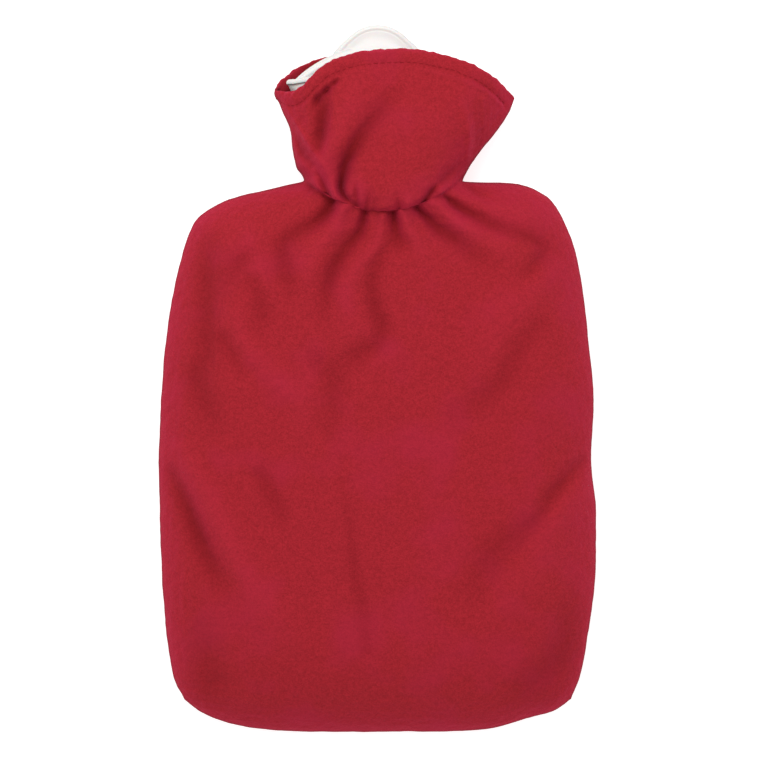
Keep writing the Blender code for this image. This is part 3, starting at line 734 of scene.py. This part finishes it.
def stitch_line(points):
    """Places along the stitching, one thread's step apart, with the way it runs."""
    hem_row = len(points) - 1 - HEM_ROLL_ROWS - HEM_DEEP_ROWS
    outside = points[: hem_row + 1]
    lengths = np.linalg.norm(np.diff(outside, axis=0), axis=2)
    below = np.concatenate((np.cumsum(lengths[::-1], axis=0)[::-1], np.zeros((1, points.shape[1]))))
    line = []
    for i in range(ENDS_BARE, points.shape[1] - ENDS_BARE):
        j = int(np.searchsorted(-below[:, i], -(STITCH_DOWN - HEM_ROLL)))
        line.append(outside[j, i])
    line = np.array(line)
    for _ in range(3):
        line[1:-1] = (line[:-2] + 2 * line[1:-1] + line[2:]) / 4
    run = np.concatenate(([0], np.cumsum(np.linalg.norm(np.diff(line, axis=0), axis=1))))
    steps = np.arange(STITCH_STEP, run[-1] - STITCH_STEP, STITCH_STEP)
    return np.stack([np.interp(steps, run, line[:, k]) for k in range(3)], axis=1)


def stitches(side, points):
    build = bmesh.new()
    line = stitch_line(points)
    for before, after in zip(line, line[1:]):
        middle = Vector((before + after) / 2) * MM
        turn = Vector(after - before).to_track_quat("X", "Z").to_matrix().to_4x4()
        size = Matrix.Diagonal((STITCH_LONG / 2 * MM, THREAD * MM, THREAD * MM, 1))
        bmesh.ops.create_uvsphere(
            build, u_segments=7, v_segments=5, radius=1.0,
            matrix=Matrix.Translation(middle) @ turn @ size,
        )
    print(side, "hem:", len(line) - 1, "stitches")
    return piece_from(build, side + "_hem_stitches")


front_thread = stitches("front", front_points)
back_thread = stitches("back", back_points)

# %% [markdown]
# ## Shader maths
#
# A material is a graph of nodes. Writing the maths as Python expressions keeps it
# readable: this class wraps one output socket, and each operator adds the Math node
# that does the same to it.

# %% Sockets and graphs
class Socket:
    """An output socket that Python's operators work on."""

    def __init__(self, graph, output):
        self.graph = graph
        self.output = output

    def maths(self, operation, first, second):
        made = self.graph.node("ShaderNodeMath", {"operation": operation}, {0: first, 1: second})
        return made["Value"]

    def __add__(self, other):
        return self.maths("ADD", self, other)

    def __radd__(self, other):
        return self.maths("ADD", other, self)

    def __sub__(self, other):
        return self.maths("SUBTRACT", self, other)

    def __rsub__(self, other):
        return self.maths("SUBTRACT", other, self)

    def __mul__(self, other):
        return self.maths("MULTIPLY", self, other)

    def __rmul__(self, other):
        return self.maths("MULTIPLY", other, self)


class Graph:
    """A material's nodes, made one at a time."""

    def __init__(self, name):
        self.material = bpy.data.materials.new(name)
        self.material.use_nodes = True
        self.tree = self.material.node_tree
        self.shader = self.tree.nodes["Principled BSDF"]

    def node(self, kind, settings=None, inputs=None):
        """A node with its settings made first, then its sockets set or linked."""
        made = self.tree.nodes.new(kind)
        for name, value in (settings or {}).items():
            setattr(made, name, value)
        for name, value in (inputs or {}).items():
            self.feed(self.find(made, name), value)
        return {out.name: Socket(self, out) for out in made.outputs if out.enabled}

    def find(self, made, name):
        if isinstance(name, int):
            return made.inputs[name]
        return next(socket for socket in made.inputs if socket.enabled and socket.name == name)

    def feed(self, socket, value):
        if isinstance(value, Socket):
            self.tree.links.new(value.output, socket)
        else:
            socket.default_value = value

    def finish(self, **inputs):
        """Sets or links the shader's own sockets."""
        for name, value in inputs.items():
            self.feed(self.shader.inputs[name.replace("_", " ")], value)
        return self.material

    def noise(self, size_mm, detail, roughness, offset=(0, 0, 0)):
        """Noise in the piece's own space, with lumps of a size in millimetres."""
        place = self.node("ShaderNodeTexCoord")["Object"]
        moved = self.node("ShaderNodeMapping", {}, {"Vector": place, "Location": offset})["Vector"]
        return self.node("ShaderNodeTexNoise", {}, {
            "Vector": moved, "Scale": 1 / (size_mm * MM), "Detail": detail, "Roughness": roughness,
        })["Fac"]

    def stored(self, name):
        """A value stored on the mesh for each of its points."""
        return self.node("ShaderNodeAttribute", {"attribute_name": name})["Fac"]

    def ramp(self, value, start, end, top):
        """0 where the value is at start or before it, and top from end on."""
        return self.node("ShaderNodeMapRange", {}, {
            "Value": value, "From Min": start, "From Max": end, "To Min": 0.0, "To Max": top,
        })["Result"]

    def bump(self, height, strength):
        return self.node("ShaderNodeBump", {}, {
            "Strength": strength, "Distance": 1.0, "Height": height,
        })["Normal"]

    def mix(self, share, first, second):
        """A colour between two others."""
        return self.node("ShaderNodeMix", {"data_type": "RGBA"}, {
            "Factor": share, "A": (*first, 1) if isinstance(first, tuple) else first,
            "B": (*second, 1) if isinstance(second, tuple) else second,
        })["Result"]


# %% [markdown]
# ## Fleece
#
# Fleece is knitted polyester, brushed until its loops break into a soft pile. It has
# no gloss at all. A pile is too fine to model, so light and shade on it are partly
# painted into the colour from two values stored on the mesh, the depth of the folds and
# the steepness: painted shade in creases, by the seam and inside the hem, a painted
# highlight on raised folds, a painted pink sheen on steep sides and a painted dark
# outline where the cloth stands upright. Noise gives the fibres, the tufts and the
# mottling, and a broad one gives faint pink clouds.

# %% Steepness
def mark_steepness(piece):
    """Stores how steeply a piece stands at each point: 0 lies flat, and 1 is upright."""
    steep = piece.data.attributes.new("steep", "FLOAT", "POINT")
    steep.data.foreach_set("value", [1 - abs(vert.normal.z) for vert in piece.data.vertices])
    print(piece.name, "is marked with its steepness")


# %% Fleece finish
FLEECE_LIGHT = (0.400, 0.0185, 0.0290)
FLEECE_DARK = (0.285, 0.0125, 0.0195)
# painted shade for creases, the seam's edge and the inside of the hem
HOLLOW_SHADE_RED = (0.112, 0.0020, 0.0026)
# painted highlight for raised folds and the puff of the hem
RAISED_HIGHLIGHT_RED = (0.500, 0.0245, 0.0560)
# painted pink sheen for steep sides
SIDE_SHEEN_RED = (0.420, 0.0065, 0.0420)
# painted shade for the outline where the cloth turns under
OUTLINE_SHADE_RED = (0.110, 0.0040, 0.0150)
PINK_RED = (0.400, 0.0165, 0.0470)
SHEEN_RED = (1.0, 0.12, 0.2, 1)


def fleece():
    graph = Graph("red_fleece")
    tufts = graph.noise(1.5, 4.0, 0.65)
    fibres = graph.noise(0.7, 3.0, 0.7, (0.3, 0.1, 0.2))
    mottle = graph.noise(7.0, 3.0, 0.6, (0.1, 0.5, 0.7))
    cloud = graph.noise(30.0, 2.0, 0.5, (0.7, 0.2, 0.4))
    shade = graph.node("ShaderNodeClamp", {}, {
        "Value": 0.5 + (tufts - 0.5) * 2.0 + (fibres - 0.5) * 2.8 + (mottle - 0.5) * 0.2,
    })["Result"]
    painted_shading = graph.stored("painted_shading")
    steep = graph.stored("steep")
    colour = graph.mix(shade, FLEECE_DARK, FLEECE_LIGHT)
    colour = graph.mix(graph.ramp(cloud, 0.48, 0.68, 0.4), colour, PINK_RED)
    # painted highlight where folds stand up
    colour = graph.mix(graph.ramp(painted_shading, 0.1, 3.0, 0.26), colour, RAISED_HIGHLIGHT_RED)
    # painted sheen where the cloth stands steeply
    colour = graph.mix(graph.ramp(steep, 0.15, 0.6, 0.45), colour, SIDE_SHEEN_RED)
    # painted shade in creases, beside the seam and inside the hem
    colour = graph.mix(graph.ramp(painted_shading, -0.1, -6.75, 0.9), colour, HOLLOW_SHADE_RED)
    # painted dark outline where the cloth stands upright
    colour = graph.mix(graph.ramp(steep, 0.7, 1.0, 0.8), colour, OUTLINE_SHADE_RED)
    return graph.finish(
        Base_Color=colour, Roughness=0.95, Specular_IOR_Level=0.1,
        Normal=graph.bump(tufts * (0.6 * MM) + fibres * (0.25 * MM), 0.9),
        Sheen_Weight=0.24, Sheen_Roughness=0.45, Sheen_Tint=SHEEN_RED,
    )


fleece_material = fleece()
for cloth in (front_cover, back_cover):
    mark_steepness(cloth)
    cloth.data.materials.append(fleece_material)

# %% Thread finish
THREAD_LIGHT = (0.28, 0.011, 0.017)
THREAD_DARK = (0.20, 0.008, 0.012)


def thread():
    graph = Graph("red_thread")
    twist = graph.noise(0.3, 2.0, 0.5)
    return graph.finish(
        Base_Color=graph.mix(twist, THREAD_DARK, THREAD_LIGHT), Roughness=0.9,
        Normal=graph.bump(twist * (0.1 * MM), 0.5), Specular_IOR_Level=0.1,
    )


thread_material = thread()
for sewn in (front_thread, back_thread):
    sewn.data.materials.append(thread_material)

# %% [markdown]
# ## The bottle
#
# The bottle is blown from one piece of soft white plastic: a flat oval body, a neck,
# and a funnel whose back lip stands higher than its front. A loft through oval rings
# makes it. A grid rolled into a tube gives the loft its faces: each row is a ring,
# from the foot, up the outside, over the bead on the rim and down inside the funnel.

# %% Bottle rings
Y, HALF_WIDTH, LOW, MIDDLE, HIGH, ROUNDNESS = range(6)  # the columns of both tables
OUTSIDE_RINGS = (
    (-159.4, 56.0, 8.5, 11.0, 14.0, 2.4),
    (-158.0, 68.0, 6.2, 11.0, 18.0, 2.5),
    (-153.5, 78.0, 4.8, 11.5, 23.5, 2.6),
    (-145.0, 86.5, 3.8, 12.0, 28.5, 2.8),
    (-131.0, 92.0, 3.2, 12.0, 32.0, 2.9),
    (-105.0, 94.5, 3.0, 12.0, 34.2, 2.9),
    (-62.0, 95.5, 3.0, 12.0, 34.6, 2.9),
    (-10.0, 94.5, 3.0, 12.0, 34.6, 2.9),
    (22.0, 92.0, 3.0, 12.5, 34.0, 2.9),
    (44.0, 88.0, 3.1, 13.0, 33.4, 2.9),
    (58.0, 82.5, 3.4, 13.5, 32.4, 2.8),
    (68.0, 76.0, 4.0, 14.0, 31.2, 2.7),
    (76.0, 66.0, 4.7, 14.8, 30.0, 2.6),
    (82.0, 50.0, 6.0, 15.8, 28.8, 2.4),
    (87.0, 33.0, 7.0, 16.6, 28.2, 2.2),
    (92.5, 25.5, 7.4, 17.2, 28.2, 2.0),
    (99.0, 25.0, 6.8, 17.8, 29.6, 2.0),
    (106.0, 27.5, 6.0, 18.4, 33.6, 2.0),
    (115.0, 31.5, 5.2, 19.0, 37.2, 2.0),
    (125.0, 36.0, 5.8, 19.4, 38.6, 2.1),
    (134.0, 39.8, 7.0, 19.4, 38.4, 2.2),
    (142.2, 43.3, 7.0, 19.4, 37.2, 2.2),
)
INSIDE_RINGS = (
    (142.2, 40.9, 9.4, 19.4, 34.8, 2.2),
    (134.0, 37.2, 9.4, 19.4, 35.8, 2.2),
    (125.0, 33.4, 8.4, 19.4, 35.8, 2.1),
    (116.0, 28.6, 7.9, 19.2, 34.0, 2.0),
    (110.0, 22.0, 8.2, 19.0, 31.6, 2.0),
    (109.6, 12.0, 13.0, 19.0, 25.0, 2.0),
    (109.6, 0.01, 18.99, 19.0, 19.01, 2.0),
)
BACK_LIP_LIFT = 15.5
FRONT_LIP_LIFT = 3.0
LIP_POWER = 0.9
LIP_WIDE = 0.925  # the lips rise over this share of the rim's width
LIP_START = 108.0
LIP_BEAD = 1.62  # half the thickness of the rim's raised edge
LIP_BEAD_ROWS = 11
LIP_BEAD_FROM, LIP_BEAD_TO = -40, 220  # degrees from straight outwards
RING_POINTS = 144
ROWS_PER_RING = 4


def fine_rings(rings):
    """The rings with more of them between, on smooth curves."""
    table = np.array(rings, dtype=float)
    knots = np.arange(len(rings), dtype=float)
    at = np.linspace(0, len(rings) - 1, (len(rings) - 1) * ROWS_PER_RING + 1)
    return np.stack([smooth_through(knots, table[:, k], at) for k in range(table.shape[1])], axis=1)


def bead_rings(outer, inner):
    """Rings over the raised edge of the rim, from the outside wall to the inside one."""
    middle = (np.array(outer) + np.array(inner)) / 2
    rows = []
    for degrees in np.linspace(LIP_BEAD_FROM, LIP_BEAD_TO, LIP_BEAD_ROWS):
        turn = math.radians(degrees)
        row = middle.copy()
        out = LIP_BEAD * math.cos(turn)
        row[Y] = outer[Y] + LIP_BEAD * math.sin(turn)
        row[HALF_WIDTH] += out
        row[LOW] -= out
        row[HIGH] += out
        rows.append(row)
    return rows


def ring_points(row):
    """Points round one ring, raised where the lips are."""
    y, half_width, low, middle, high, roundness = row
    turn = 2 * math.pi * np.arange(RING_POINTS) / RING_POINTS
    c, s = np.cos(turn), np.sin(turn)
    x = half_width * np.sign(c) * np.abs(c) ** (2 / roundness)
    reach = np.where(s > 0, high - middle, middle - low)
    z = middle + reach * np.sign(s) * np.abs(s) ** (2 / roundness)
    lift = np.where(s > 0, FRONT_LIP_LIFT, BACK_LIP_LIFT)
    lean = max(0.0, (y - LIP_START) / (OUTSIDE_RINGS[-1][Y] - LIP_START)) ** 2
    arch = np.maximum(0, 1 - (x / half_width / LIP_WIDE) ** 2) ** LIP_POWER
    return np.stack((x, y + lift * lean * arch, z), axis=1)


def rolled_grid(name, rows_of_points):
    """A tube with a row of points for each ring, closed at both ends."""
    rows = len(rows_of_points) - 1
    around = len(rows_of_points[0])
    build = bmesh.new()
    bmesh.ops.create_grid(build, x_segments=around, y_segments=rows, size=1.0)
    for vert in build.verts:
        i = round((vert.co.x + 1) / 2 * around) % around
        j = round((vert.co.y + 1) / 2 * rows)
        vert.co = rows_of_points[j][i] * MM
    bmesh.ops.remove_doubles(build, verts=build.verts, dist=0.02 * MM)
    bmesh.ops.holes_fill(build, edges=build.edges, sides=0)
    bmesh.ops.recalc_face_normals(build, faces=build.faces)
    return piece_from(build, name)


outside = fine_rings(OUTSIDE_RINGS)
inside = fine_rings(INSIDE_RINGS)
foot = outside[0].copy()
foot[HALF_WIDTH:] = (0.01, 10.99, 11.0, 11.01, 2.4)  # a ring small enough to close the foot
bottle_rows = [foot, *outside, *bead_rings(OUTSIDE_RINGS[-1], INSIDE_RINGS[0]), *inside[1:]]
bottle = rolled_grid("white_bottle", [ring_points(row) for row in bottle_rows])

# %% [markdown]
# ## The hanging tab
#
# The round tab on the back lip has a raised edge, and spreads where it joins the
# lip. Its outline is a circle that widens towards its foot, and its cross-section
# runs from the middle of the front face, over the raised edge, to the back. A
# Boolean union joins it to the bottle, because the two are moulded as one.

# %% Tab
TAB_X, TAB_Y, TAB_Z = 0.0, 151.2, 8.1
TAB_RADIUS = 19.0
TAB_HALF = 1.2  # half its thickness
BEAD = 1.5  # half the thickness of its raised edge
BEAD_STEPS = 12
BEAD_FROM = 132  # degrees from straight outwards
TAB_FOOT = 7.0  # how much wider it is at its foot
TAB_SPREADS = (42, 118)  # degrees from its top
TAB_TURNS = 96


def tab_profile():
    """Radius and height from the front face's middle over the edge to the back."""
    flat = TAB_RADIUS - 2.3 * BEAD
    front = [(0.01, TAB_HALF), (flat * 0.5, TAB_HALF), (flat - 1.5, TAB_HALF), (flat, TAB_HALF)]
    front.append((flat + 0.35 * BEAD, TAB_HALF + 0.03))
    edge = []
    for k in range(BEAD_STEPS + 1):
        turn = math.radians(BEAD_FROM - 2 * BEAD_FROM * k / BEAD_STEPS)
        edge.append((TAB_RADIUS - BEAD + BEAD * math.cos(turn), BEAD * math.sin(turn)))
    back = [(radius, -height) for radius, height in reversed(front)]
    return front + edge + back


def tab_rows():
    """The profile turned round the tab's middle, one row of points for each place on it."""
    turn = 2 * math.pi * np.arange(TAB_TURNS) / TAB_TURNS
    from_top = np.abs(np.degrees(turn) - 90)
    from_top = np.minimum(from_top, 360 - from_top)
    spread = TAB_FOOT * shift_between(from_top, *TAB_SPREADS)
    rows = []
    for radius, height in tab_profile():
        reach = radius + spread * (radius / TAB_RADIUS) ** 2
        x, y = TAB_X + reach * np.cos(turn), TAB_Y + reach * np.sin(turn)
        rows.append(np.stack((x, y, np.full_like(turn, TAB_Z + height)), axis=1))
    return rows


tab = rolled_grid("tab_tool", tab_rows())
join = bottle.modifiers.new("tab", "BOOLEAN")
join.operation = "UNION"
join.object = tab
shaped = bottle.evaluated_get(bpy.context.evaluated_depsgraph_get())
joined = bpy.data.meshes.new_from_object(shaped)
bottle.modifiers.clear()
bottle.data = joined
bpy.data.objects.remove(tab)
print("bottle with its tab:", len(bottle.data.polygons), "faces")

# %% [markdown]
# ## The stopper
#
# The stopper screws into the neck inside the funnel. It is turned: a profile spun
# round an axis, with shallow grooves round the grip for wet fingers.

# %% Stopper
STOPPER_Y, STOPPER_Z = 110.4, 19.6
STOPPER_PROFILE = (
    (0.0, 14.2), (5.2, 14.2), (6.2, 14.9), (6.9, 14.9), (7.5, 14.2), (7.5, 4.6), (8.1, 3.4),
    (10.2, 3.0), (10.8, 2.4), (10.8, 0.5), (10.3, 0.0), (0.0, 0.0),
)
GRIP_RADIUS = 7.5
GRIP_GROOVES = 20
GRIP_DEEP = 0.5


def stopper_piece():
    build = bmesh.new()
    verts = [build.verts.new((radius * MM, 0, height * MM)) for radius, height in STOPPER_PROFILE]
    edges = [build.edges.new(pair) for pair in zip(verts, verts[1:])]
    bmesh.ops.spin(
        build, geom=verts + edges, cent=(0, 0, 0), axis=(0, 0, 1), dvec=(0, 0, 0),
        angle=2 * math.pi, steps=8 * GRIP_GROOVES, use_merge=True,
    )
    bmesh.ops.remove_doubles(build, verts=build.verts, dist=0.01 * MM)
    bmesh.ops.recalc_face_normals(build, faces=build.faces)
    for vert in build.verts:
        radius = math.hypot(vert.co.x, vert.co.y) / MM
        if abs(radius - GRIP_RADIUS) < 0.1:
            turn = math.atan2(vert.co.y, vert.co.x)
            cut = 1 - GRIP_DEEP / radius * (0.5 - 0.5 * math.cos(GRIP_GROOVES * turn))
            vert.co.x *= cut
            vert.co.y *= cut
    for vert in build.verts:
        x, y, z = vert.co
        vert.co = (x, STOPPER_Y * MM + z, STOPPER_Z * MM - y)
    made = piece_from(build, "white_stopper")
    made.data.set_sharp_from_angle(angle=math.radians(35))
    return made


stopper = stopper_piece()

# %% [markdown]
# ## White plastic
#
# Soft moulded plastic lets a little light in, so its white is warm and its shadows
# are pale. Its steep walls, such as the inside of the funnel, the lip and the tab's
# edge, are painted grey as shade, from the stored steepness. The surface is satin,
# with the faint orange peel of the mould.

# %% Plastic finish
# painted shade for steep walls of the plastic
PLASTIC_PAINTED_SHADE = (0.50, 0.515, 0.485)
BOTTLE_LIGHT = (0.785, 0.79, 0.77)
BOTTLE_SHADED = (0.745, 0.75, 0.73)
STOPPER_LIGHT = (0.82, 0.80, 0.78)
STOPPER_SHADED = (0.77, 0.75, 0.73)


def white_plastic(name, light, shaded, roughness):
    graph = Graph(name)
    cloud = graph.noise(14.0, 2.0, 0.5)
    peel = graph.noise(0.9, 2.0, 0.5)
    # painted shade on steep walls, from the stored steepness
    painted_shade = graph.ramp(graph.stored("steep"), 0.04, 0.6, 0.6)
    return graph.finish(
        Base_Color=graph.mix(painted_shade, graph.mix(cloud, shaded, light), PLASTIC_PAINTED_SHADE),
        Roughness=roughness + (peel - 0.5) * 0.15,
        Normal=graph.bump(peel * (0.05 * MM) + cloud * (0.2 * MM), 0.3),
        Subsurface_Weight=0.2, Subsurface_Scale=0.004,
    )


PLASTICS = {
    bottle: ("white_bottle_plastic", BOTTLE_LIGHT, BOTTLE_SHADED, 0.34),
    stopper: ("white_stopper_plastic", STOPPER_LIGHT, STOPPER_SHADED, 0.4),
}
for moulded, finish in PLASTICS.items():
    mark_steepness(moulded)
    moulded.data.materials.clear()
    moulded.data.materials.append(white_plastic(*finish))

# %% [markdown]
# ## Into the frame
#
# Each piece takes the place of its solid and rides with it. The two panels are
# sheets: a panel lies round its half of the bottle, and its hem and side allowances
# are part of the cut. Their areas are printed.

def cloth_area(cloth):
    return sum(face.area for face in cloth.data.polygons)


print("cloth areas:", [round(cloth_area(cloth), 4) for cloth in (front_cover, back_cover)])
PIECES = {
    front_cover: ("front_panel", "fleece"),
    back_cover: ("back_panel", "fleece"),
    bottle: ("bottle", "bottle_plastic"),
    stopper: ("stopper", "stopper_plastic"),
}
for piece, (node, slot) in PIECES.items():
    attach(piece, "root")
    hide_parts(node)
for thread_piece in (front_thread, back_thread):
    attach(thread_piece, "root")

# %% [markdown]
# ## Table, light and camera
#
# One large soft light above the mouth's end and a white surrounding keep the red
# even. The pale table gives off a little light of its own, so that it stays white
# and the shadows on it are faint. The camera looks straight down, far away, through
# a long lens, so the outline keeps its true shape.

# %% Table
TABLE_HALF = 6.0  # metres
TABLE_GREY = 0.60
TABLE_GLOW = 0.75


def table_top():
    build = bmesh.new()
    bmesh.ops.create_grid(build, x_segments=1, y_segments=1, size=TABLE_HALF)
    top = piece_from(build, "table_top")
    top.data.materials.append(Graph("pale_table").finish(
        Base_Color=(TABLE_GREY, TABLE_GREY, TABLE_GREY, 1), Roughness=0.9, Specular_IOR_Level=0.1,
        Emission_Color=(1, 1, 1, 1), Emission_Strength=TABLE_GLOW,
    ))


table_top()

# %% Lights
WORLD_LIGHT = 0.72
KEY_POWER = 6.4  # watts
KEY_FROM = (-0.08, 0.55, 0.94)
KEY_WIDE = 0.7


def lights():
    world = bpy.data.worlds.new("white_surround")
    world.use_nodes = True
    world.node_tree.nodes["Background"].inputs["Color"].default_value = (1, 1, 1, 1)
    world.node_tree.nodes["Background"].inputs["Strength"].default_value = WORLD_LIGHT
    bpy.context.scene.world = world
    lamp = bpy.data.lights.new("soft_key", "AREA")
    lamp.size = KEY_WIDE
    lamp.energy = KEY_POWER
    key = bpy.data.objects.new("soft_key", lamp)
    key.location = KEY_FROM
    key.rotation_euler = (-Vector(KEY_FROM)).to_track_quat("-Z", "Y").to_euler()
    bpy.context.scene.collection.objects.link(key)
    bpy.context.scene.view_settings.view_transform = "Standard"


lights()

# %% Camera
PICTURE_WIDE = 0.3648  # what the camera takes in at the height of the seam
SEAM_HIGH = 0.012
CAMERA_AWAY = 8.0
SENSOR_WIDE = 36
CAMERA_X, CAMERA_Y = 0.0012, -0.0003


def camera():
    lens = bpy.data.cameras.new("above")
    lens.sensor_width = SENSOR_WIDE
    lens.lens = SENSOR_WIDE * CAMERA_AWAY / PICTURE_WIDE
    eye = bpy.data.objects.new("above", lens)
    eye.location = (CAMERA_X, CAMERA_Y, SEAM_HIGH + CAMERA_AWAY)
    bpy.context.scene.collection.objects.link(eye)
    bpy.context.scene.camera = eye


camera()
